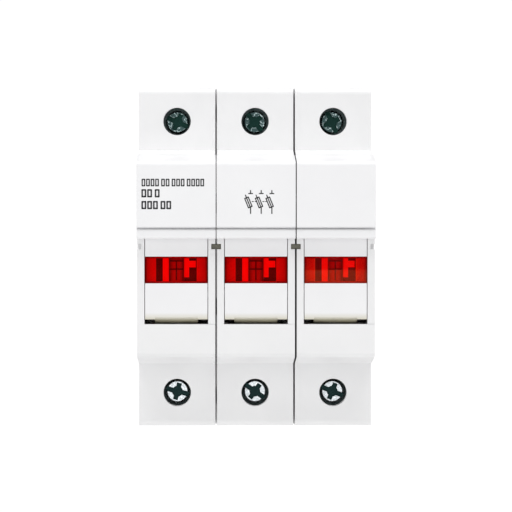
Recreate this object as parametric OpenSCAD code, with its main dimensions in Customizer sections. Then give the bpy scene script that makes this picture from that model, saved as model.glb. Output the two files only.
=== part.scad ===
// Three-pole fuse switch for 10 x 38 mm cartridge fuses, clipped on a 35 mm rail.
// X runs across the poles, the front faces -Y and Z is up. The origin is the
// centre of the rail seat. Side outlines are drawn as (Y, Z).

/* [Poles] */
// Width of one pole module
pitch = 18; // [17.9:0.1:18.2]
// Width of the housing at its shoulders
pole_w = 17.6; // [17.4:0.1:17.7]
// Width of the housing where neighbouring poles meet, behind the shoulders
land_w = 17.96; // [17.9:0.02:17.98]
// Width of the housing across the nose
nose_w = 17.7; // [17.62:0.02:17.8]
// Height of the housing
body_h = 78; // [77.6:0.2:78.6]
// Wall thickness
wall = 1.6; // [1.5:0.05:1.7]

/* [Depths in front of the rail seat] */
// Shoulder plane with the terminal screw holes
shoulder_d = 38.5; // [38.3:0.1:38.8]
// Nose plane with the handles
nose_d = 54.3; // [54.2:0.1:54.5]
// Label plane, the foremost face
label_d = 57.5; // [57.3:0.1:57.8]

/* [Rail] */
// Height of the slot for the 35 mm rail
slot_h = 35.2; // [35.1:0.1:35.4]
// How far the hooks reach behind the rail seat
hook_d = 5.5; // [5.3:0.1:5.8]
// How far hook and latch reach behind the rail flange
hook_reach = 1.3; // [1:0.1:1.3]

/* [Carrier] */
// Width of the handle between the cheeks
handle_w = 14.1; // [14:0.05:14.2]
// Width of the label block
block_w = 17.82; // [17.7:0.02:17.86]
// Height of the window
window_h = 6.05; // [5.8:0.05:6.1]
// Radius of the pivot pin
pin_r = 1.5; // [1.4:0.05:1.6]

/* [Fuse] */
// Radius of the caps
cap_r = 5.15; // [5.1:0.01:5.17]
// Length of a cap
cap_h = 10; // [9.5:0.1:10.5]
// Length of the fuse
fuse_h = 38; // [37.5:0.1:38.2]

/* [Terminals] */
// Distance of the terminal screws from the rail centre line
screw_z = 31.3; // [31:0.1:31.4]
// Radius of the hole that leads to a screw
guide_r = 3.18; // [3:0.02:3.3]
// Radius of a screw head
head_r = 2.65; // [2.5:0.05:2.8]
// Travel of a screw from closed to open
screw_travel = 4.2; // [3.5:0.7:4.2]

/* [Hidden] */
$fn = 96;
eps = 0.1;
far = 70;

// colours
shell_white = [0.93, 0.93, 0.94];
carrier_white = [0.96, 0.96, 0.97];
lamp_red = [0.72, 0.02, 0.02, 0.8];
ceramic = [0.92, 0.9, 0.85];
nickel = [0.72, 0.72, 0.7];
copper = [0.78, 0.5, 0.33];
zinc = [0.55, 0.6, 0.62];
spring_steel = [0.45, 0.46, 0.48];
latch_grey = [0.62, 0.63, 0.64];
board_tan = [0.85, 0.78, 0.6];
clip_olive = [0.45, 0.44, 0.36];

// planes of the housing
shoulder_y = -shoulder_d;
nose_y = -nose_d;
label_y = -label_d;
half_h = body_h / 2;
slope_z = 24.6;
wing = [-46, 23.5];
nose_z = -22.4;
cheek_z = 4.5;
sill_z = -14.85;
shelf_back_y = -47.2;
edge_r = 1.4;
nose_r = 1;
back_cut = 2;
inner_x = 7.2;
cover_gap = 0.05;
land_y = [-32, 4.3];
collar_d = 3.2;

// rail seat
slot_z = slot_h / 2;
seat_z = 16;
seat_step = 0.3;
flange_gap = 1.2;

// pivot of the carriers and the arcs around it
pivot = [-50.3, -8];
pin_x = 8.2;
tongue_r = 6.65;
tongue_x = 4.85;
sill_r = 7.3;
cheek_r = 13.2;
block_r = 13.5;
hub_r = 3.4;

// carrier
block_back_y = -46.2;
crease_y = -55.9;
crease_z = [6.65, 7];
strip_y = -57;
strip_z = 4.5;
lip_r = 0.35;
rib_y = [-46.9, -41.2];
rib_z = [-7.5, 5];
rib_t = 1.5;
lead_x = 0.4;
lead_y = [-47.5, -47];
lead_z = [[2.5, 9], [-4.5, -10.6]];
lead_tip_y = -45.85;
lead_bend = [0.3, 0.8, 1.4];
lead_slot_x = 0.6;
lead_slot_y = -47.7;
lead_slot_z = [3, 8];
handle_t = 2;
handle_z = [-13, 6];
foot_z = [-13.75, -12];
handle_x = handle_w / 2;
cradle_x = 6.3;
window_z = 0.45 - window_h;
window_t = 1.4;
lamp_opening = [4.6, 0.4];
tie_rod = [-52.2, 13.5];
tie_rod_r = 1.2;
boss_t = 1;
boss_end = 1;
boss_gap_x = 4;

// fuse
fuse_y = -40.6;
fuse_z = -20;
tube_r = 4.8;
tube_bore = 3.6;
cap_t = 0.3;
cap_end = 0.5;

// contacts
strip_t = 0.8;
strip_x = 3.5;
arm_x = [5.25, 5.8];
clip_t = 0.4;
upper_strip_z = 21.4;
lower_strip_z = -21.2;
upper_web_y = [-35.2, -34.4];
lower_web_y = [-46.6, -45.9];
upper_jaw_front_y = -44;
lower_jaw_back_y = -38;
upper_arm_z = [8.5, 17.5];
lower_arm_z = [lower_strip_z, -15];
upper_clip_z = [11, 15.5];
lower_clip_z = [-19.6, -15.8];
strip_back_y = -12.8;
strip_end_z = 36.5;

// terminals
cage_y = [-27.4, -11.6];
cage_z = [26.4, 35.9];
cage_x = 5;
cage_t = 1.1;
head_h = 2.2;
slot_w = 1.15;
slot_d = 0.8;
cross_r = 2;
cross_core_r = 1.25;
cross_d = 1.5;
shank_r = 1.95;
shank_h = 12.6;
pad_t = 1.2;
pad_gap = 0.03;
pad_size = [7.4, 7.6];
upper_head_y = -30;
lower_head_y = upper_head_y - screw_travel;
upper_turn = [24, 50, 66];
lower_turn = [14.5, 35, 22];
entry_y = [-26.2, -14.2];
entry_x = 4.3;

// latch
latch_x = 5;
latch_y = [1.3, 4.5];
latch_z = -38;
latch_gap = 0.1;
latch_window = [1.9, -36.4, -25];
back_window_x = 3.5;
back_window_z = [-37, -19.5];
spring_seat_x = 1.4;
spring_seat_t = 1.2;
spring_seat_z = -34;
spring_r = 1.25;
spring_wire_r = 0.22;
spring_turns = 6;
spring_steps = 14;
spring_sides = 8;
spring_rings = spring_turns * spring_steps;
spring_len = latch_window[2] - spring_seat_z - 2 * spring_wire_r - 0.04;
spring_axis_y = (latch_y[0] + latch_y[1]) / 2;
spring_base_z = spring_seat_z + spring_wire_r + 0.02;

// indicator
board_x = -3.1;
board_y = [-48.3, -47.5];
board_z = [-6, 4];
lamp_r = 1.6;
lamp_y = -49.95;
lamp_z = [-5.3, -0.7];
resistor_x = [2.8, 4.6];
resistor_y = -51.2;
resistor_z = [-4.8, -2.8];

// rivets and link clips
rivets = [[-7, 34], [-7, -34], [-24, 12], [-24, -12]];
rivet_r = 2;
rivet_head = [3, 0.6];
link_z = [2.1, 3.3];
link_x = 0.95;
link_back_y = -50;

function pole_x(p) = (p - 2) * pitch;

module across(x0, x1) translate([x0, 0, 0]) rotate([90, 0, 90]) linear_extrude(x1 - x0) children();
module both_sides() { children(); mirror([1, 0, 0]) children(); }
module box(x, y, z)
    translate([x[0], y[0], z[0]]) cube([x[1] - x[0], y[1] - y[0], z[1] - z[0]]);
module rod_x(at, r, x0, x1) translate([x0, at[0], at[1]]) rotate([0, 90, 0]) cylinder(h = x1 - x0, r = r);
module rod_y(z, r, y0, y1) translate([0, y0, z]) rotate([-90, 0, 0]) cylinder(h = y1 - y0, r = r);
module disc(at, r) translate(at) circle(r);

// ---- housing ----

module cheek_top() intersection() {
    disc(pivot, cheek_r);
    translate([nose_y, pivot[1]]) square([wing[0] - nose_y, far]);
}

module shell_outline() {
    polygon([
        [hook_d, half_h - back_cut], [hook_d - back_cut, half_h],
        [shoulder_y + edge_r, half_h], [shoulder_y, half_h - edge_r],
        [shoulder_y, slope_z], wing, [wing[0], cheek_z], [nose_y, cheek_z],
        [nose_y, nose_z + nose_r], [nose_y + nose_r, nose_z],
        [shoulder_y, -slope_z], [shoulder_y, edge_r - half_h], [shoulder_y + edge_r, -half_h],
        [hook_d - back_cut, -half_h], [hook_d, back_cut - half_h],
        [hook_d, -slot_z], [-seat_step, -slot_z], [-seat_step, -seat_z], [0, -seat_z],
        [0, seat_z], [-seat_step, seat_z], [-seat_step, slot_z], [flange_gap, slot_z],
        [flange_gap, slot_z - hook_reach], [3.2, slot_z - hook_reach], [hook_d, slot_z + 1]
    ]);
    for (s = [-1, 1]) disc([shoulder_y + edge_r, s * (half_h - edge_r)], edge_r);
    disc([nose_y + nose_r, nose_z + nose_r], nose_r);
    cheek_top();
}

// space inside a pole, open at the front for the carrier; gap shrinks it for the cover
module cavity_outline(gap = 0) {
    y_front = shoulder_y + wall + gap;
    z_end = half_h - wall - gap;
    y_back = hook_d - wall - gap;
    y_seat = -2.2 - gap;
    z_slot = slot_z + 1.8 + gap;
    polygon([
        [y_front, z_end], [y_back, z_end], [y_back, z_slot], [y_seat, z_slot],
        [y_seat, -z_end], [y_front, -z_end], [y_front, 1.6 - slope_z + gap],
        [nose_y + wall + gap, nose_z + 1.5 + gap], [nose_y + wall + gap, sill_z - wall - gap],
        [shelf_back_y + gap, sill_z - wall - gap], [shelf_back_y + gap, sill_z + gap],
        [-far, sill_z + gap], [-far, wing[1] - 1.2 - gap], [wing[0], wing[1] - 1.2 - gap],
        [y_front, slope_z - 1 - gap]
    ]);
}

module nose_zone() translate([nose_y - 1, nose_z - 3]) square([shoulder_y - nose_y, cheek_z - nose_z + 4]);

module land_zone() translate([land_y[0], -half_h]) square([land_y[1] - land_y[0], body_h]);

module sill_relief() intersection() {
    disc(pivot, sill_r);
    translate([nose_y + 1, sill_z - 1]) square([6, 2]);
}

module link_pocket() box([nose_w / 2 - link_x, nose_w], [nose_y - eps, link_back_y], link_z);

module housing_holes() {
    for (r = rivets) {
        rod_x(r, rivet_r + 0.05, -pole_w, pole_w);
        for (s = [-1, 1]) translate([s * pole_w / 2, 0, 0])
            rod_x(r, rivet_head[0] + 0.1, -rivet_head[1] - 0.1, rivet_head[1] + 0.1);
    }
    both_sides() link_pocket();
    rod_x(pivot, pin_r + 0.02, -pin_x, pin_x);
}

module hole_collar(s) rod_y(s * screw_z, guide_r + 1.2, shoulder_y + wall - eps, shoulder_y + collar_d);

module latch_channel() {
    x = latch_x + latch_gap;
    box([-x, x], [latch_y[0] - latch_gap, latch_y[1] + latch_gap], [-half_h - eps, eps - slot_z]);
    box([-back_window_x, back_window_x], [latch_y[1], hook_d + eps], back_window_z);
}

module housing_base() color(shell_white) {
    difference() {
        union() {
            difference() {
                union() {
                    across(-pole_w / 2, pole_w / 2) shell_outline();
                    across(-nose_w / 2, nose_w / 2) intersection() { shell_outline(); nose_zone(); }
                    across(-land_w / 2, land_w / 2) intersection() { shell_outline(); land_zone(); }
                }
                across(-inner_x, nose_w) { cavity_outline(); sill_relief(); }
            }
            for (r = rivets) rod_x(r, rivet_r + 1.4, -inner_x - eps, inner_x);
            for (s = [-1, 1]) hole_collar(s);
        }
        housing_holes();
        for (s = [-1, 1]) {
            rod_y(s * screw_z, guide_r, shoulder_y - eps, cage_y[0]);
            box([-entry_x, entry_x], entry_y, s > 0 ? [half_h - wall - eps, half_h + eps]
                : [-half_h - eps, wall + eps - half_h]);
        }
        latch_channel();
    }
    box([-spring_seat_x, spring_seat_x], [latch_y[0] - 2 * latch_gap, latch_y[1]],
        [spring_seat_z - spring_seat_t, spring_seat_z]);
}

module cover_outline() intersection() { cavity_outline(cover_gap); shell_outline(); }

module housing_cover() color(shell_white) difference() {
    union() {
        across(inner_x, pole_w / 2) cover_outline();
        across(inner_x, nose_w / 2) intersection() { cover_outline(); nose_zone(); }
        across(inner_x, land_w / 2) intersection() { cover_outline(); land_zone(); }
    }
    housing_holes();
}

// ---- carrier ----

module block_outline() difference() {
    union() {
        polygon([
            [block_back_y, 2], [block_back_y, 23.45], [label_y + 1, 22], [label_y, 21],
            [label_y, crease_z[1] + lip_r], [label_y + lip_r, crease_z[1]],
            [crease_y, crease_z[1]], [crease_y, crease_z[0]], [strip_y + lip_r, crease_z[0]],
            [strip_y, crease_z[0] - lip_r], [strip_y, strip_z + lip_r], [strip_y + lip_r, strip_z],
            [-55, strip_z], [-55, 2]
        ]);
        disc([label_y + 1, 21], 1);
        disc([label_y + lip_r, crease_z[1] + lip_r], lip_r);
        disc([strip_y + lip_r, crease_z[0] - lip_r], lip_r);
        disc([strip_y + lip_r, strip_z + lip_r], lip_r);
    }
    disc(pivot, block_r);
}

module block_hollow() polygon([
    [block_back_y + eps, 6.8], [-52.8, 6.8], [label_y + wall, 9], [label_y + wall, 20.6],
    [block_back_y + eps, 22]
]);

module tongue_outline() intersection() {
    difference() { disc(pivot, tongue_r); disc(pivot, tongue_r - 1.4); }
    translate([nose_y, sill_z - 1]) square([7.8, 4.4]);
}

module cradle_outline() {
    polygon([
        [-53, 5.5], [-53, -12.8], [-50.5, -12.8], [-46.5, -9.5], [-36.5, -7.5], [-36.5, 8],
        [-45, 19], [label_y + wall, 20], [label_y + wall, 8]
    ]);
    disc(pivot, hub_r);
}

module fuse_rib(z) difference() {
    box([-cradle_x - eps, cradle_x + eps], rib_y, [z, z + rib_t]);
    translate([0, fuse_y, z - eps]) cylinder(h = rib_t + 2 * eps, r = tube_r + 0.05);
}

module carrier() color(carrier_white) difference() {
    union() {
        difference() {
            across(-block_w / 2, block_w / 2) block_outline();
            across(-handle_x - 0.4, handle_x + 0.4) block_hollow();
        }
        box([-handle_x, handle_x], [nose_y, nose_y + handle_t], handle_z);
        both_sides() box([tongue_x, handle_x], [nose_y, nose_y + handle_t], foot_z);
        across(-tongue_x, tongue_x) tongue_outline();
        both_sides() across(cradle_x, handle_x) cradle_outline();
        for (z = rib_z) fuse_rib(z);
        rod_x(tie_rod, tie_rod_r + boss_t, boss_end - block_w / 2, block_w / 2 - boss_end);
    }
    box([-handle_x - eps, handle_x + eps], [nose_y - eps, nose_y + window_t],
        [window_z, window_z + window_h]);
    box([-lamp_opening[0], lamp_opening[0]], [nose_y, nose_y + handle_t + eps],
        [window_z + lamp_opening[1], window_z + window_h - lamp_opening[1]]);
    rod_x(pivot, pin_r + 0.05, -handle_x - eps, handle_x + eps);
    rod_x(tie_rod, tie_rod_r + 0.02, -block_w, block_w);
    rod_x(tie_rod, tie_rod_r + 2 * boss_t, -boss_gap_x, boss_gap_x);
    box([-lead_slot_x, lead_slot_x], [lead_slot_y, block_back_y + eps], lead_slot_z);
}

module window() color(lamp_red) {
    box([-handle_x, handle_x], [nose_y, nose_y + window_t], [window_z, window_z + window_h]);
    box([-lamp_opening[0], lamp_opening[0]], [nose_y + window_t - eps, nose_y + handle_t],
        [window_z + lamp_opening[1], window_z + window_h - lamp_opening[1]]);
}

// ---- fuse ----

module fuse_tube() color(ceramic) translate([0, fuse_y, fuse_z + cap_end]) difference() {
    cylinder(h = fuse_h - 2 * cap_end, r = tube_r);
    translate([0, 0, -eps]) cylinder(h = fuse_h, r = tube_bore);
}

module fuse_cap() difference() {
    cylinder(h = cap_h, r = cap_r);
    translate([0, 0, cap_end]) cylinder(h = cap_h, r = cap_r - cap_t);
}

module fuse_caps() color(nickel) translate([0, fuse_y, fuse_z]) {
    fuse_cap();
    translate([0, 0, fuse_h]) mirror([0, 0, 1]) fuse_cap();
}

module fuse_element() color(nickel) difference() {
    box([-1.2, 1.2], [fuse_y - 0.1, fuse_y + 0.1], [fuse_z + cap_end, fuse_z + fuse_h - cap_end]);
    for (k = [-2:2], s = [-1, 1])
        translate([s * 1.2, fuse_y - 1, fuse_z + fuse_h / 2 + 4 * k])
            rotate([-90, 0, 0]) cylinder(h = 2, r = 0.8);
}

// ---- contacts and terminals ----

// a web with an arm on each side, its arms inside x
module jaw(x, web_y, web_z, arm_y, arm_z) {
    box([-x[1], x[1]], web_y, web_z);
    both_sides() box(x, arm_y, arm_z);
}

// a strip that runs back from y and then along the terminal, its front edge up at z
module contact_strip(y, z) {
    box([-strip_x, strip_x], [y, strip_back_y], [z, z + strip_t]);
    box([-strip_x, strip_x], [strip_back_y - strip_t, strip_back_y],
        z > 0 ? [z, strip_end_z] : [-strip_end_z, z + strip_t]);
}

module upper_contact() color(copper) {
    jaw(arm_x, upper_web_y, [upper_arm_z[0], upper_strip_z + strip_t],
        [upper_jaw_front_y, upper_web_y[1]], upper_arm_z);
    contact_strip(upper_web_y[0], upper_strip_z);
}

module lower_contact() color(copper) {
    jaw(arm_x, lower_web_y, lower_arm_z, [lower_web_y[0], lower_jaw_back_y], lower_arm_z);
    contact_strip(lower_web_y[0], lower_strip_z);
}

module jaw_spring_clips() color(spring_steel) {
    x = [arm_x[1], arm_x[1] + clip_t];
    back_y = upper_web_y[1] + clip_t;
    front_y = lower_web_y[0] - clip_t;
    jaw(x, [upper_web_y[1], back_y], upper_clip_z, [upper_jaw_front_y + 1, back_y], upper_clip_z);
    jaw(x, [front_y, lower_web_y[0]], lower_clip_z, [front_y, lower_jaw_back_y - 1], lower_clip_z);
}

module terminal_cage() color(zinc) difference() {
    box([-cage_x, cage_x], cage_y, cage_z);
    box([cage_t - cage_x, cage_x - cage_t], [cage_y[0] + 1.4, strip_back_y],
        [cage_z[0] - eps, cage_z[1] + eps]);
    rod_y(screw_z, shank_r + 0.05, cage_y[0] - eps, cage_y[0] + 2);
}

module clamp_pad(z, head_y) color(zinc) {
    y = head_y + head_h + shank_h + pad_gap;
    box([-pad_size[0] / 2, pad_size[0] / 2], [y, y + pad_t], [z - pad_size[1] / 2, z + pad_size[1] / 2]);
}

module terminal_screw(z, head_y, turn) color(zinc) translate([0, head_y, z]) rotate([0, turn, 0])
    difference() {
        rotate([-90, 0, 0]) rotate_extrude() polygon([
            [0, 0], [head_r - 0.35, 0], [head_r, 0.35], [head_r, head_h], [shank_r, head_h],
            [shank_r, head_h + shank_h - 0.6], [shank_r - 0.6, head_h + shank_h], [0, head_h + shank_h]
        ]);
        box([-head_r - eps, head_r + eps], [-eps, slot_d], [-slot_w / 2, slot_w / 2]);
        for (a = [0, 90]) rotate([0, a, 0])
            box([-cross_r, cross_r], [-eps, cross_d], [-slot_w / 2, slot_w / 2]);
        rod_y(0, cross_core_r, -eps, cross_d);
    }

// ---- rail latch ----

module rail_latch() color(latch_grey) difference() {
    across(-latch_x, latch_x) polygon([
        [latch_y[0], latch_z], [latch_y[1], latch_z], [latch_y[1], -18.5],
        [2.6, hook_reach - slot_z], [latch_y[0], hook_reach - slot_z]
    ]);
    box([-latch_window[0], latch_window[0]], [0, 10], [latch_window[1], latch_window[2]]);
}

function spring_point(ring, side) =
    let (turn = 360 * ring / spring_steps, around = 360 * side / spring_sides,
        r = spring_r + spring_wire_r * cos(around))
    [r * cos(turn), spring_axis_y + r * sin(turn),
        spring_base_z + spring_len * ring / spring_rings + spring_wire_r * sin(around)];

module latch_spring() color(spring_steel) polyhedron(
    points = [for (ring = [0:spring_rings], side = [0:spring_sides - 1]) spring_point(ring, side)],
    faces = concat(
        [[for (side = [spring_sides - 1:-1:0]) side]],
        [for (ring = [0:spring_rings - 1], side = [0:spring_sides - 1])
            let (a = ring * spring_sides, next = (side + 1) % spring_sides)
            [a + side, a + next, a + spring_sides + next, a + spring_sides + side]],
        [[for (side = [0:spring_sides - 1]) spring_rings * spring_sides + side]]
    )
);

// ---- indicator ----

module indicator_board() color(board_tan)
    box([board_x, cradle_x], board_y, board_z);

module neon_lamp() color(lamp_red) translate([0, lamp_y, lamp_z[0]]) {
    cylinder(h = lamp_z[1] - lamp_z[0], r = lamp_r);
    translate([0, 0, lamp_z[1] - lamp_z[0]]) sphere(r = lamp_r);
}

module resistor() color(board_tan) box(resistor_x, [resistor_y, board_y[0]], resistor_z);

// a strip on the back of the board, from z[0] to z[1], whose end bends back to a fuse cap
module indicator_lead(z) color(spring_steel) {
    s = sign(z[1]);
    across(-lead_x, lead_x) polygon([
        [lead_y[0], z[0]], [lead_y[1], z[0]], [lead_y[1], z[1]],
        [lead_tip_y, z[1] + s * lead_bend[1]], [lead_tip_y, z[1] + s * lead_bend[2]],
        [lead_y[0], z[1] + s * lead_bend[0]]
    ]);
}

// ---- shared pins and clips ----

module pivot_pin() color(nickel) rod_x(pivot, pin_r, -pin_x, pin_x);

module carrier_tie_rod() color(nickel) {
    reach = pitch + block_w / 2 - 0.6;
    rod_x(tie_rod, tie_rod_r, -reach, reach);
}

module rivet(at) {
    reach = pitch + pole_w / 2;
    difference() {
        union() {
            rod_x(at, rivet_r, -reach, reach);
            both_sides() rod_x(at, rivet_head[0], reach - rivet_head[1], reach);
        }
        rod_x(at, rivet_r - 0.6, -reach - eps, reach + eps);
    }
}

module pole_link_clip() color(clip_olive)
    box([-link_x + 0.05 - (pitch - nose_w) / 2, link_x - 0.05 + (pitch - nose_w) / 2],
        [nose_y + 0.4, link_back_y], [link_z[0] + 0.05, link_z[1] - 0.05]);

// ---- placement ----

for (p = [1:3]) translate([pole_x(p), 0, 0]) {
    housing_base();
    housing_cover();
    carrier();
    window();
    fuse_tube();
    fuse_caps();
    upper_contact();
    lower_contact();
    clamp_pad(screw_z, upper_head_y);
    clamp_pad(-screw_z, lower_head_y);
    terminal_screw(screw_z, upper_head_y, upper_turn[p - 1]);
    terminal_screw(-screw_z, lower_head_y, lower_turn[p - 1]);
    rail_latch();
    latch_spring();
    terminal_cage();  // upper_terminal_cages
    mirror([0, 0, 1]) terminal_cage();  // lower_terminal_cages
    jaw_spring_clips();
    fuse_element();  // fuse_elements
    indicator_board();  // indicator_boards
    neon_lamp();  // neon_lamps
    resistor();  // resistors
    for (z = lead_z) indicator_lead(z);  // indicator_leads
    pivot_pin();  // pivot_pins
}
carrier_tie_rod();
color(nickel) for (at = rivets) rivet(at);  // through_rivets
for (s = [-1, 1]) translate([s * pitch / 2, 0, 0]) pole_link_clip();  // pole_link_clips
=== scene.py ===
import math

import bmesh
import bpy
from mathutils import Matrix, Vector


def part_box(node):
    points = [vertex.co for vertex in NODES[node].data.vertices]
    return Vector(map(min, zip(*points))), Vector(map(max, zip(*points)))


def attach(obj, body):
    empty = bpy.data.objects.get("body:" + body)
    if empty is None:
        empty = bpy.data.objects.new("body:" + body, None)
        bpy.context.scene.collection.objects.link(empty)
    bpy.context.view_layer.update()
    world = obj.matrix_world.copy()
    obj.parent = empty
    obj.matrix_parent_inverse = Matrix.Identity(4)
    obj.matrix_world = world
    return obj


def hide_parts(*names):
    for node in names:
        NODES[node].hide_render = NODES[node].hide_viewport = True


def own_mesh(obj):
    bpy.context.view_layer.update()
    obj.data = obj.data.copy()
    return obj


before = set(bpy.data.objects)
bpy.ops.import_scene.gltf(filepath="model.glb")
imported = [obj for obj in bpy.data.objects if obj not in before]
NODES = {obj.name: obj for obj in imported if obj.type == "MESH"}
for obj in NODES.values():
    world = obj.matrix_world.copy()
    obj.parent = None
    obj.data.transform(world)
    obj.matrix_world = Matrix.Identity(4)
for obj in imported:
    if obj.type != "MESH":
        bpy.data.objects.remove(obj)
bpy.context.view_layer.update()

MM = 0.001
POLES = (1, 2, 3)


def middle_x(node):
    low_corner, high_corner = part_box(node)
    return (low_corner.x + high_corner.x) / 2


PITCH = middle_x("carrier_2") - middle_x("carrier_1")
NOSE_REACH = 15.8 * MM
SHOULDER_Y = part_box("housing_base_2")[0].y + NOSE_REACH
LABEL_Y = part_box("carrier_2")[0].y
CARRIER_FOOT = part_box("carrier_2")[0].z


# ---- node material helpers ----

MIX_COLOURS, MIX_RESULT = (6, 7), 2       # the RGBA sockets of a Mix node
MID_LOW, MID_HIGH = 0.3, 0.7              # most of a noise texture lies between these
SEAM_BLUR = 0.04 * MM
# painted shade: the black that fills the gaps where a pole's front faces its neighbour
SEAM_SHADE = (0.02, 0.02, 0.02)
OUTER_SIDES = (1.3 * PITCH, 1.31 * PITCH)  # further out than this, a pole has no neighbour


class Tree:
    """A material's node tree, with short calls to add and link nodes."""

    def __init__(self, name):
        self.material = bpy.data.materials.new(name)
        self.material.use_nodes = True
        self.tree = self.material.node_tree
        self.shader = self.tree.nodes["Principled BSDF"]
        self.output = self.tree.nodes["Material Output"]

    def add(self, kind, **settings):
        node = self.tree.nodes.new(kind)
        for key, value in settings.items():
            setattr(node, key, value)
        return node

    def link(self, source, target):
        self.tree.links.new(source, target)

    def set(self, **values):
        for name, value in values.items():
            self.shader.inputs[name.replace("_", " ")].default_value = value

    def place(self):
        """Object coordinates, which move with the piece."""
        return self.add("ShaderNodeTexCoord").outputs["Object"]

    def axis(self, name):
        """One object coordinate, in metres."""
        node = self.add("ShaderNodeSeparateXYZ")
        self.link(self.place(), node.inputs[0])
        return node.outputs[name]

    def noise(self, size, detail=3.0, roughness=0.5, stretch=None):
        """A noise value whose features are about size metres across."""
        node = self.add("ShaderNodeTexNoise")
        node.inputs["Scale"].default_value = 1 / size
        node.inputs["Detail"].default_value = detail
        node.inputs["Roughness"].default_value = roughness
        source = self.place()
        if stretch:
            mapping = self.add("ShaderNodeMapping")
            mapping.inputs["Scale"].default_value = stretch
            self.link(source, mapping.inputs["Vector"])
            source = mapping.outputs["Vector"]
        self.link(source, node.inputs["Vector"])
        return node.outputs["Fac"]

    def spread(self, value, low, high, low_out=0.0, high_out=1.0):
        """value mapped from low..high to low_out..high_out and clamped."""
        node = self.add("ShaderNodeMapRange")
        for name, number in (("From Min", low), ("From Max", high),
                             ("To Min", low_out), ("To Max", high_out)):
            node.inputs[name].default_value = number
        self.link(value, node.inputs["Value"])
        return node.outputs["Result"]

    def mix(self, factor, first, second):
        """Two colours, or colour sockets, mixed by a value."""
        node = self.add("ShaderNodeMix", data_type="RGBA")
        self.link(factor, node.inputs["Factor"])
        for value, index in zip((first, second), MIX_COLOURS):
            if isinstance(value, tuple):
                node.inputs[index].default_value = (*value, 1.0)
            else:
                self.link(value, node.inputs[index])
        return node.outputs[MIX_RESULT]

    def math(self, operation, first, second=0.0):
        """A value worked out from a socket and a number or another socket."""
        node = self.add("ShaderNodeMath", operation=operation)
        self.link(first, node.inputs[0])
        if isinstance(second, float):
            node.inputs[1].default_value = second
        else:
            self.link(second, node.inputs[1])
        return node.outputs[0]

    def bump(self, height, depth, strength=1.0):
        node = self.add("ShaderNodeBump")
        node.inputs["Distance"].default_value = depth
        node.inputs["Strength"].default_value = strength
        self.link(height, node.inputs["Height"])
        self.link(node.outputs["Normal"], self.shader.inputs["Normal"])

    def veins(self, size, width):
        """Thin lines, where a noise crosses its middle value."""
        offset = self.math("SUBTRACT", self.noise(size, 2.0), 0.5)
        return self.spread(self.math("ABSOLUTE", offset), 0.3 * width, width, 1.0, 0.0)

    def local_x(self):
        """Distance from the middle plane of the pole that a point is on, in metres."""
        from_side = self.math("MODULO", self.math("ADD", self.axis("X"), 1.5 * PITCH), PITCH)
        return self.math("ABSOLUTE", self.math("SUBTRACT", from_side, PITCH / 2))

    def seam_painted_shade(self, colour, start_x):
        """colour, blackened with painted shade where the front of a pole faces its neighbour
        across the gap.
        """
        # painted shade on the side walls in the gaps between poles
        painted_shade = self.spread(self.local_x(), start_x, start_x + SEAM_BLUR)
        off_middle = self.math("ABSOLUTE", self.axis("X"))
        between_poles = self.spread(off_middle, *OUTER_SIDES, 1.0, 0.0)
        in_front = self.spread(self.axis("Y"), SHOULDER_Y - MM, SHOULDER_Y - 2 * MM)
        for limit in (between_poles, in_front):
            painted_shade = self.math("MULTIPLY", painted_shade, limit)
        return self.mix(painted_shade, colour, SEAM_SHADE)


def dimmed(colour, share):
    return tuple(share * c for c in colour)


# ---- materials ----

WHITE = (1.0, 1.0, 1.0, 1.0)
MOTTLE_SIZE, SHEEN_SIZE = 9 * MM, 1.5 * MM
STAIN_SIZE = 1.2 * MM
SCREW_RECESS = 0.5 * MM                   # depth at which a screw head's recess is fully dark with painted shade
WINDOW_OPENING = 4.5 * MM                 # half the width that is free of the handle's frame
WINDOW_RIM, WINDOW_BLUR = 0.42 * MM, 0.03 * MM
# the rim's deeper red, and the darker haze of the window's upper half, which is painted shade
# under the handle's ridge
RIM_RED, SHADED_UPPER_HAZE = (0.66, 0.0, 0.0), (0.5, 0.0, 0.0)


def moulded(name, light, dark, roughness, grain, grain_depth, painted_shade=None, seam_x=None, glow=0.0):
    """Moulded plastic or ceramic: an eroded grain, given by its size and depth, and a mottle.

    An optional painted shade: the height where it starts, the height where it is full and its
    colour.
    From seam_x off its pole's middle it is blackened with painted shade where it faces the next
    pole.
    """
    t = Tree(name)
    mottle = t.spread(t.noise(MOTTLE_SIZE, 2.0), 0.35, 0.65)
    colour = t.mix(mottle, dark, light)
    # painted shade: darkened and tinted more and more with height towards the given end
    if painted_shade:
        unshaded_z, shaded_z, shade_colour = painted_shade
        colour = t.mix(t.spread(t.axis("Z"), unshaded_z, shaded_z), colour, shade_colour)
    # painted shade in the gaps between poles
    if seam_x:
        colour = t.seam_painted_shade(colour, seam_x)
    t.link(colour, t.shader.inputs["Base Color"])
    # painted light where glow is above zero: the piece shines though it is no lamp
    t.set(Emission_Color=WHITE, Emission_Strength=glow)
    t.link(t.spread(t.noise(SHEEN_SIZE), MID_LOW, MID_HIGH, roughness - 0.04, roughness + 0.05),
           t.shader.inputs["Roughness"])
    t.bump(t.noise(grain, 2.0), grain_depth)
    return t.material


def plated(name, light, dark, roughness, stretch=(1, 1, 1), scratch=0.5 * MM, depth=0.005 * MM):
    """Plated or bare metal: a drawn grain, given by its size and depth, and a faint stain."""
    t = Tree(name)
    t.set(Metallic=1.0)
    stain = t.spread(t.noise(STAIN_SIZE, 4.0), 0.35, 0.7)
    t.link(t.mix(stain, light, dark), t.shader.inputs["Base Color"])
    grain = t.noise(scratch, 4.0, 0.6, stretch)
    t.link(t.spread(grain, MID_LOW, MID_HIGH, roughness - 0.07, roughness + 0.1),
           t.shader.inputs["Roughness"])
    t.bump(grain, depth)
    return t.material


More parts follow.
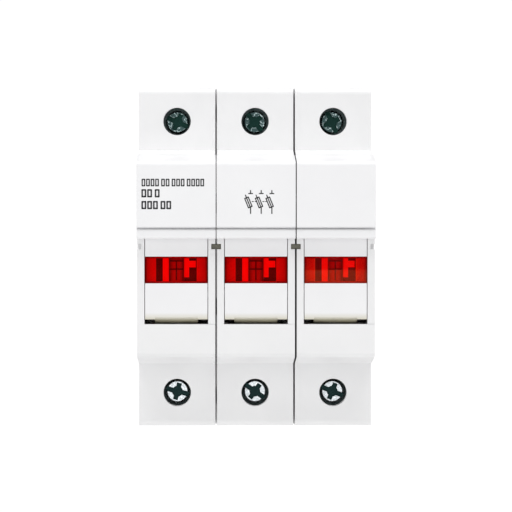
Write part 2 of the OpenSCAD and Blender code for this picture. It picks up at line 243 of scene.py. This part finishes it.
def recess_screw(name, bright, scratch, recess_shade, top_y):
    """Zinc screw head: stained on top, with scratches painted bright as highlights, and dark with
    painted shade in its recess.
    """
    t = Tree(name)
    t.set(Metallic=1.0)
    stain = t.spread(t.noise(0.6 * MM, 5.0, 0.6), 0.38, 0.72)
    top = t.mix(stain, bright, dimmed(bright, 0.62))
    # scratches painted bright, partly as highlights
    top = t.mix(t.veins(1.1 * MM, 0.03), top, scratch)
    # painted shade: the head turns dark below its top face, in its recess
    depth = t.spread(t.axis("Y"), top_y + 0.3 * SCREW_RECESS, top_y + SCREW_RECESS)
    t.link(t.mix(depth, top, recess_shade), t.shader.inputs["Base Color"])
    t.link(t.spread(t.noise(0.25 * MM, 3.0), MID_LOW, MID_HIGH, 0.22, 0.42),
           t.shader.inputs["Roughness"])
    t.bump(t.noise(0.3 * MM, 4.0), 0.03 * MM, 0.6)
    return t.material


def red_plastic(name, clear, band, lit_lower_haze, haze_share):
    """Clear red plastic, deeper at its rim, darkened by painted shade where the handle's frame is
    behind it, and with a haze that is lighter in its lower half, painted light.
    """
    t = Tree(name)
    low_corner, high_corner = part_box("window_2")
    half_width = (high_corner.x - low_corner.x) / 2
    side, height = t.local_x(), t.axis("Z")
    # painted shade: darker towards the sides, where the handle's frame lies behind the plastic
    frame_shade = t.mix(t.spread(side, WINDOW_OPENING, half_width), band, dimmed(band, 0.86))
    beside = t.spread(side, WINDOW_OPENING - WINDOW_BLUR, WINDOW_OPENING + WINDOW_BLUR)
    tint = t.mix(beside, clear, frame_shade)
    for value, edge, inwards in ((side, half_width, -1), (height, high_corner.z, -1),
                                 (height, low_corner.z, 1)):
        start = edge + inwards * WINDOW_RIM
        at_rim = t.spread(value, start + inwards * WINDOW_BLUR, start - inwards * WINDOW_BLUR)
        tint = t.mix(at_rim, tint, RIM_RED)
    see_through = t.add("ShaderNodeBsdfTransparent")
    t.link(tint, see_through.inputs["Color"])
    middle_z = (low_corner.z + high_corner.z) / 2
    # painted light: the haze in the lower half is brighter than in the upper half
    lit_lower_half = t.spread(height, middle_z + WINDOW_BLUR, middle_z - WINDOW_BLUR)
    t.link(t.mix(lit_lower_half, SHADED_UPPER_HAZE, lit_lower_haze), t.shader.inputs["Base Color"])
    t.set(Roughness=0.07, IOR=1.5, Specular_IOR_Level=0.2)
    t.bump(t.noise(4 * MM, 1.0), 0.02 * MM, 0.4)
    blend = t.add("ShaderNodeMixShader")
    blend.inputs[0].default_value = haze_share
    t.link(see_through.outputs[0], blend.inputs[1])
    t.link(t.shader.outputs[0], blend.inputs[2])
    t.link(blend.outputs[0], t.output.inputs["Surface"])
    return t.material


def glass(name, tint, alpha):
    """Thin clear glass with a faint unevenness."""
    t = Tree(name)
    t.link(t.mix(t.spread(t.noise(2 * MM), MID_LOW, MID_HIGH), tint, dimmed(tint, 0.9)),
           t.shader.inputs["Base Color"])
    t.set(Roughness=0.04, Alpha=alpha)
    return t.material


def ink(name, colour):
    """Matt print with a fine speck."""
    t = Tree(name)
    speck = t.spread(t.noise(0.12 * MM, 3.0), MID_LOW, MID_HIGH)
    t.link(t.mix(speck, colour, tuple(1.5 * c + 0.01 for c in colour)),
           t.shader.inputs["Base Color"])
    t.set(Roughness=0.55)
    return t.material


# painted warm shade along the rounded lower edge of the handle, where it turns away from the light
HANDLE_PAINTED_SHADE = (CARRIER_FOOT + 2.4 * MM, CARRIER_FOOT + 0.6 * MM, (0.6, 0.57, 0.43))

MATERIALS = {
    # seam_x places the painted shade where the poles face each other across their gaps
    "housing": moulded("housing_polyamide", (0.86, 0.86, 0.865), (0.84, 0.84, 0.845), 0.42,
                       0.18 * MM, 0.004 * MM, seam_x=8.77 * MM),
    "carrier": moulded("carrier_polyamide", (0.875, 0.875, 0.885), (0.86, 0.86, 0.87), 0.33,
                       0.3 * MM, 0.002 * MM, HANDLE_PAINTED_SHADE, seam_x=8.86 * MM),
    "latch": moulded("latch_polyamide", (0.36, 0.37, 0.38), (0.3, 0.31, 0.32), 0.48,
                     0.2 * MM, 0.006 * MM),
    # dark olive, partly the clip's own colour and partly painted shade of the pocket the clip sits
    # in
    "link": moulded("link_polyamide", (0.15, 0.145, 0.11), (0.1, 0.1, 0.075), 0.5,
                    0.2 * MM, 0.006 * MM),
    "ceramic": moulded("steatite", (0.83, 0.8, 0.74), (0.74, 0.71, 0.65), 0.6,
                       0.12 * MM, 0.008 * MM),
    "board": moulded("phenolic_board", (0.86, 0.8, 0.7), (0.72, 0.62, 0.48), 0.5,
                     0.15 * MM, 0.01 * MM),
    "resistor": moulded("lacquer", (0.05, 0.035, 0.03), (0.03, 0.02, 0.02), 0.3,
                        0.3 * MM, 0.004 * MM),
    "nickel": plated("bright_nickel", (0.78, 0.76, 0.71), (0.62, 0.6, 0.55), 0.22, (1, 1, 0.1),
                     0.15 * MM, 0.0004 * MM),
    "copper": plated("tinned_copper", (0.8, 0.72, 0.64), (0.66, 0.5, 0.38), 0.3, (0.15, 1, 1)),
    "zinc": plated("passivated_zinc", (0.62, 0.67, 0.69), (0.42, 0.48, 0.5), 0.28),
    # painted shade: the terminal cages are darkened to stand for the shade deep in the terminal
    # holes
    "zinc_in_painted_shade": plated("zinc_in_painted_shade", (0.15, 0.19, 0.19), (0.09, 0.12, 0.12), 0.4),
    "spring": plated("spring_steel", (0.36, 0.37, 0.39), (0.24, 0.25, 0.27), 0.3),
    "silver": plated("silvered_strip", (0.82, 0.81, 0.78), (0.68, 0.66, 0.62), 0.25),
    "window": red_plastic("red_polycarbonate", (1.0, 0.02, 0.01), (1.0, 0.02, 0.01),
                          (0.7, 0.01, 0.005), 0.05),
    # painted light: the third window is a brighter, warmer copy of the same red plastic
    "window_painted_warm_light": red_plastic("red_polycarbonate_painted_warm_light", (1.0, 0.05, 0.02), (1.0, 0.14, 0.02),
                               (1.0, 0.13, 0.04), 0.1),
    "lamp": glass("lamp_glass", (1.0, 0.92, 0.86), 0.75),
    # a dark sheet behind the window: painted shade for the deep, unlit parts of the window's
    # chamber; the lamp's wires share its colour
    "card": moulded("painted_shade_card", (0.03, 0.028, 0.026), (0.018, 0.017, 0.016), 0.6,
                    0.2 * MM, 0.004 * MM),
    # painted light: the lands glow a little, so they look brightly lit through the red window
    "land": moulded("pale_land_painted_glow", (0.95, 0.95, 0.94), (0.92, 0.92, 0.9), 0.5,
                    0.2 * MM, 0.003 * MM, glow=0.3),
    "ink": ink("label_ink", (0.02, 0.02, 0.022)),
}

NODE_MATERIALS = {
    "housing_base": "housing", "housing_cover": "housing", "carrier": "carrier",
    "window": "window", "fuse_tube": "ceramic", "fuse_caps": "nickel",
    "upper_contact": "copper", "lower_contact": "copper", "upper_pad": "zinc",
    "lower_pad": "zinc", "rail_latch": "latch", "latch_spring": "spring",
    "upper_terminal_cages": "zinc_in_painted_shade", "lower_terminal_cages": "zinc_in_painted_shade",
    "jaw_spring_clips": "spring", "fuse_elements": "silver", "indicator_boards": "board",
    "neon_lamps": "lamp", "resistors": "resistor", "indicator_leads": "silver",
    "pivot_pins": "zinc", "carrier_tie_rod": "zinc", "through_rivets": "nickel",
    "pole_link_clips": "link",
}

SCREW_COLOURS = {                         # bright metal, scratches painted bright as highlights, recess in painted shade
    # the upper heads are a darker copy: painted shade of their deep holes over a darker patina
    "upper": ((0.06, 0.1, 0.1), (0.5, 0.62, 0.62), (0.01, 0.03, 0.025)),
    "lower": ((0.74, 0.79, 0.82), (0.9, 0.93, 0.95), (0.012, 0.026, 0.026)),
}


def family(node):
    """A node's name without its pole."""
    return node[:-2] if node[-2:] in ("_1", "_2", "_3") else node


def dress(node, material):
    mesh = NODES[node].data
    mesh.materials.clear()
    mesh.materials.append(material)


def dress_all():
    for node in NODES:
        if family(node) in NODE_MATERIALS:
            dress(node, MATERIALS[NODE_MATERIALS[family(node)]])
    # the third window gets the copy brightened with painted warm light
    dress("window_3", MATERIALS["window_painted_warm_light"])
    for p in POLES:
        for side, colours in SCREW_COLOURS.items():
            node = f"{side}_screw_{p}"
            dress(node, recess_screw(f"zinc_{node}", *colours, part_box(node)[0].y))


# ---- rounded edges on the frame's own nodes ----

WELD_REACH = 0.002 * MM
SHARP_ANGLE = math.radians(38)
EDGE_WIDTHS = {                           # in millimetres
    "housing_base": 0.28, "housing_cover": 0.16, "carrier": 0.22, "window": 0.14,
    "upper_contact": 0.12, "lower_contact": 0.12, "rail_latch": 0.25, "pole_link_clips": 0.1,
    "upper_terminal_cages": 0.15, "lower_terminal_cages": 0.15, "upper_screw": 0.08,
    "lower_screw": 0.08, "fuse_caps": 0.14, "fuse_tube": 0.1, "resistors": 0.3,
    "indicator_boards": 0.06, "through_rivets": 0.12, "upper_pad": 0.15, "lower_pad": 0.15,
    "jaw_spring_clips": 0.1,
}


def soft_edges(obj, width):
    """Adds a bevel of width millimetres on sharp edges, and returns it."""
    bevel = obj.modifiers.new("round", "BEVEL")
    bevel.width = width * MM
    bevel.segments = 2
    bevel.limit_method = "ANGLE"
    return bevel


def round_edges(node, width):
    """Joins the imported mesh's split corners and rounds its sharp edges."""
    weld = NODES[node].modifiers.new("join", "WELD")
    weld.merge_threshold = WELD_REACH
    bevel = soft_edges(NODES[node], width)
    bevel.angle_limit = SHARP_ANGLE
    bevel.harden_normals = True
    bevel.use_clamp_overlap = True


# ---- stage, light and camera ----

NOSE = Vector((0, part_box("window_2")[0].y, 0.57 * MM))
CAMERA = Vector((-9 * MM, NOSE.y - 690 * MM, 15 * MM))
VIEW_WIDTH = 115.6 * MM
ROOM_STRENGTH, BACKDROP_STRENGTH = 0.5, 1.05
LAMP_TARGET = (0, -0.045, 0)
LAMPS = (                                 # name, place, size, power in watts
    ("top_softbox", (0, -0.3, 1.0), (1.1, 0.8), 8.4),
    ("low_bounce", (0, -0.4, -0.74), (1.1, 0.7), 1.4),
    ("front_softbox", (-0.25, -1.5, 0.25), (1.0, 1.0), 4.1),
    ("side_softbox", (-0.9, -0.15, 0), (0.5, 0.9), 1.6),
    ("side_softbox", (0.9, -0.15, 0), (0.5, 0.9), 1.6),
)
FLOOR_SIZE, FLOOR_Z = 12.0, -0.8


def aim(obj, place, target):
    """Puts a camera or lamp at place, looks it at target and adds it to the scene."""
    obj.location = place
    look = Vector(target) - Vector(place)
    obj.rotation_euler = look.to_track_quat("-Z", "Y").to_euler()
    bpy.context.scene.collection.objects.link(obj)


def make_camera():
    """A long lens on the middle of the nose, from a little to the left and above."""
    data = bpy.data.cameras.new("camera")
    data.sensor_width = 36.0
    data.lens = data.sensor_width * (CAMERA - NOSE).length / VIEW_WIDTH
    data.clip_start, data.clip_end = 0.01, 10.0
    camera = bpy.data.objects.new("camera", data)
    aim(camera, CAMERA, NOSE)
    bpy.context.scene.camera = camera


def make_world():
    """A soft even room with a white background."""
    world = bpy.data.worlds.new("room")
    world.use_nodes = True
    bpy.context.scene.world = world
    nodes, links = world.node_tree.nodes, world.node_tree.links
    room, backdrop = nodes["Background"], nodes.new("ShaderNodeBackground")
    for background, strength in ((room, ROOM_STRENGTH), (backdrop, BACKDROP_STRENGTH)):
        background.inputs["Color"].default_value = WHITE
        background.inputs["Strength"].default_value = strength
    seen = nodes.new("ShaderNodeLightPath").outputs["Is Camera Ray"]
    choose = nodes.new("ShaderNodeMixShader")
    links.new(seen, choose.inputs[0])
    links.new(room.outputs[0], choose.inputs[1])
    links.new(backdrop.outputs[0], choose.inputs[2])
    links.new(choose.outputs[0], nodes["World Output"].inputs["Surface"])


def make_lamp(name, place, size, power):
    data = bpy.data.lights.new(name, "AREA")
    data.shape = "RECTANGLE"
    data.size, data.size_y = size
    data.energy = power
    aim(bpy.data.objects.new(name, data), place, LAMP_TARGET)


def make_floor():
    bpy.ops.mesh.primitive_grid_add(x_subdivisions=4, y_subdivisions=4, size=FLOOR_SIZE,
                                    location=(0, 0, FLOOR_Z))
    floor = bpy.context.object
    floor.name = "floor"
    t = Tree("pale_floor")
    t.link(t.mix(t.noise(0.2), (0.94, 0.94, 0.94), (0.92, 0.92, 0.92)),
           t.shader.inputs["Base Color"])
    t.set(Roughness=0.7, Emission_Color=WHITE, Emission_Strength=0.1)
    floor.data.materials.append(t.material)


# ---- added pieces ----

def add_piece(name, bm, material, body):
    """A mesh piece from bm that rides on body."""
    bmesh.ops.recalc_face_normals(bm, faces=bm.faces)
    mesh = bpy.data.meshes.new(name)
    bm.to_mesh(mesh)
    bm.free()
    mesh.materials.append(material)
    obj = bpy.data.objects.new(name, mesh)
    bpy.context.scene.collection.objects.link(obj)
    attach(obj, body)
    return obj


# ---- printed marks on the labels, in millimetres ----

INK_THICKNESS = 0.012 * MM
ARC_STEPS = 6                             # in the half circle at each end of a bar
ROWS_LEFT, WORD_GAP = -25.6, 0.7
LABEL_ROWS = (                            # foot, height, width, gap, stroke, marks in each word
    (16.42, 1.44, 0.56, 0.46, 0.28, (4, 2, 3, 4)),
    (13.98, 1.5, 0.74, 0.56, 0.36, (2, 1)),
    (11.33, 1.5, 0.74, 0.56, 0.36, (3, 2)),
)
SYMBOL_X, SYMBOL_Z, SYMBOL_PITCH = 1.13, 11.45, 2.39
SYMBOL_STROKE = 0.26
SWITCH_ARM = Vector((-1.15, 2.85))
LEAD_LENGTH = 1.25
FUSE_HALF_WIDTH, FUSE_START, FUSE_END = 0.43, 0.2, 2.45
STEM_TOP, STEM_FOOT = 3.9, 3.3
CONTACT_Z, CONTACT_HALF_WIDTH = 3.22, 0.42
DASH_STARTS, DASH_Z, DASH_LENGTH, DASH_STROKE = (0.35, 1.0), 1.42, 0.3, 0.2


def bar(bm, start, end, width):
    """A flat ink bar from start to end, both (x, z), with rounded ends."""
    a, b = Vector(start) * MM, Vector(end) * MM
    along = (b - a).normalized() if (b - a).length else Vector((1, 0))
    half = width * MM / 2
    turn = math.atan2(along.y, along.x)
    outline = []
    for centre, first in ((b, -90), (a, 90)):
        for k in range(ARC_STEPS + 1):
            angle = turn + math.radians(first + 180 * k / ARC_STEPS)
            outline.append(centre + half * Vector((math.cos(angle), math.sin(angle))))
    front = [bm.verts.new((p.x, LABEL_Y - INK_THICKNESS, p.y)) for p in outline]
    back = [bm.verts.new((p.x, LABEL_Y + INK_THICKNESS, p.y)) for p in outline]
    bm.faces.new(front)
    bm.faces.new(back[::-1])
    for k, vert in enumerate(front):
        after = (k + 1) % len(front)
        bm.faces.new((vert, back[k], back[after], front[after]))


def closed_loop(corners, stroke):
    """The bars that join four corners in a ring."""
    return [(corners[k - 1], corners[k], stroke) for k in range(4)]


def printed(name, bars):
    bm = bmesh.new()
    for start, end, width in bars:
        bar(bm, start, end, width)
    return add_piece(name, bm, MATERIALS["ink"], "carriers")


def print_rows():
    """Three rows of empty boxes where a label carries its ratings: no letters."""
    bars = []
    for z, height, width, gap, stroke, words in LABEL_ROWS:
        x, top = ROWS_LEFT, z + height
        for count in words:
            for _ in range(count):
                right = x + width
                bars += closed_loop([(x, z), (right, z), (right, top), (x, top)], stroke)
                x += width + gap
            x += WORD_GAP * gap
    printed("label_strokes", bars)


def print_symbol():
    """Three fuse switches in a row, joined by a dashed mechanical link."""
    bars = []
    along = SWITCH_ARM.normalized()
    across = Vector((along.y, -along.x)) * FUSE_HALF_WIDTH
    for k in (-1, 0, 1):
        foot = Vector((SYMBOL_X + SYMBOL_PITCH * k, SYMBOL_Z))
        for start, end in (((0, 0), (0, -LEAD_LENGTH)), ((0, 0), SWITCH_ARM),
                           ((0, STEM_TOP), (0, STEM_FOOT)),
                           ((-CONTACT_HALF_WIDTH, CONTACT_Z), (CONTACT_HALF_WIDTH, CONTACT_Z))):
            bars.append((foot + Vector(start), foot + Vector(end), SYMBOL_STROKE))
        low_end, high_end = foot + FUSE_START * along, foot + FUSE_END * along
        bars += closed_loop([low_end + across, high_end + across, high_end - across,
                             low_end - across], SYMBOL_STROKE)
        if k < 1:
            for start in DASH_STARTS:
                dash = foot + Vector((start, DASH_Z))
                bars.append((dash, dash + Vector((DASH_LENGTH, 0)), DASH_STROKE))
    printed("label_symbol", bars)


# ---- what shows behind the windows, in millimetres ----

CARD_HALF_WIDTH, CARD_GAP = 4.9, (-1.72, 1.78)          # the lamp shows in the gap
LAND_LEFT, LAND_RIGHT, LAND_END = -3.1, 2.9, 4.4
LOW_LAND_RISE = 1.15
END_LAND_DROPS = (2.35, 0.85)
WIRE_HALF_LENGTH, WIRE_HALF_WIDTH = 1.5, 0.15
WIRE_DROPS, WIRE_RISE = (0.9, 2.75), 0.5
CARD_MARGIN = 0.15                        # under the window's upper and lower edge
CARD_BACK, LAND_BACK, WIRE_BACK = (0.35, 0.6), (0.1, 0.35), (0.25, 0.5)


def add_slabs(name, x0, y, slabs, material, edge):
    """Closed boxes on the carriers, each given by its ends in x from x0 and in z."""
    bm = bmesh.new()
    for x, z in slabs:
        spans = ((x0 + x[0], x0 + x[1]), y, z)
        for vert in bmesh.ops.create_cube(bm, size=1.0)["verts"]:
            for axis, (low_end, high_end) in enumerate(spans):
                vert.co[axis] = (low_end if vert.co[axis] < 0 else high_end) * MM
    soft_edges(add_piece(name, bm, MATERIALS[material], "carriers"), edge)


def add_lamp_card(p):
    """A dark card behind the window, painted shade for the deep parts of its chamber, with pale
    lands on it that glow with painted light, and wires in front of the lamp.
    """
    x0 = middle_x(f"carrier_{p}") / MM
    low_corner, high_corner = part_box(f"window_{p}")
    card, land, wire = (tuple(high_corner.y / MM + offset for offset in back)
                        for back in (CARD_BACK, LAND_BACK, WIRE_BACK))
    bottom, top = low_corner.z / MM + CARD_MARGIN, high_corner.z / MM - CARD_MARGIN
    add_slabs(f"lamp_card_{p}", x0, card,
              [((-CARD_HALF_WIDTH, CARD_GAP[0]), (bottom, top)),
               ((CARD_GAP[1], CARD_HALF_WIDTH), (bottom, top))], "card", 0.04)
    add_slabs(f"lamp_card_lands_{p}", x0, land,
              [((LAND_LEFT, CARD_GAP[0]), (bottom, top)),
               ((CARD_GAP[1], LAND_RIGHT), (bottom + LOW_LAND_RISE, top)),
               ((LAND_RIGHT, LAND_END), (top - END_LAND_DROPS[0], top - END_LAND_DROPS[1]))],
              "land", 0.04)
    wires = [((-WIRE_HALF_LENGTH, WIRE_HALF_LENGTH),
              (top - drop - WIRE_HALF_WIDTH, top - drop + WIRE_HALF_WIDTH)) for drop in WIRE_DROPS]
    upright = ((-WIRE_HALF_WIDTH, WIRE_HALF_WIDTH), (bottom + WIRE_RISE, top - WIRE_DROPS[0]))
    add_slabs(f"lamp_wires_{p}", x0, wire, wires + [upright], "card", 0.05)


# ---- latch springs ----

WIRE_R = 0.22 * MM
CLOSED_PITCH = 1.02 * 2 * WIRE_R          # at the end turns, which nearly touch
SPRING_TURNS, TURN_STEPS, WIRE_SIDES = 7, 28, 12


def coil_height(turn, foot, head):
    """Height of the wire's middle after some turns."""
    if turn < 1:
        return foot + CLOSED_PITCH * turn
    if turn > SPRING_TURNS - 1:
        return head - CLOSED_PITCH * (SPRING_TURNS - turn)
    open_height = head - foot - 2 * CLOSED_PITCH
    return foot + CLOSED_PITCH + open_height * (turn - 1) / (SPRING_TURNS - 2)


def add_latch_spring(p):
    """A round-wire compression spring, with nearly closed end turns, in the place of the latch
    spring.
    """
    node = f"latch_spring_{p}"
    low_corner, high_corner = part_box(node)
    middle = (low_corner + high_corner) / 2
    coil_r = (high_corner.x - low_corner.x) / 2 - WIRE_R
    bm = bmesh.new()
    rings = []
    for k in range(SPRING_TURNS * TURN_STEPS + 1):
        angle = 2 * math.pi * k / TURN_STEPS
        z = coil_height(k / TURN_STEPS, low_corner.z + WIRE_R, high_corner.z - WIRE_R)
        ring = []
        for n in range(WIRE_SIDES):
            around = 2 * math.pi * n / WIRE_SIDES
            r = coil_r + WIRE_R * math.cos(around)
            ring.append(bm.verts.new((middle.x + r * math.cos(angle),
                                      middle.y + r * math.sin(angle),
                                      z + WIRE_R * math.sin(around))))
        rings.append(ring)
    for first, second in zip(rings, rings[1:]):
        for n in range(WIRE_SIDES):
            bm.faces.new((first[n - 1], first[n], second[n], second[n - 1])).smooth = True
    bm.faces.new(rings[0])
    bm.faces.new(rings[-1][::-1])
    spring = add_piece(f"latch_coil_{p}", bm, MATERIALS["spring"], "housing")
    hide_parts(node)
    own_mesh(spring)


# ---- build ----

make_camera()
make_world()
make_floor()
for lamp in LAMPS:
    make_lamp(*lamp)
bpy.context.scene.view_settings.view_transform = "Standard"
dress_all()
for cad_node in NODES:
    if family(cad_node) in EDGE_WIDTHS:
        round_edges(cad_node, EDGE_WIDTHS[family(cad_node)])
print_rows()
print_symbol()
for pole in POLES:
    add_lamp_card(pole)
    add_latch_spring(pole)
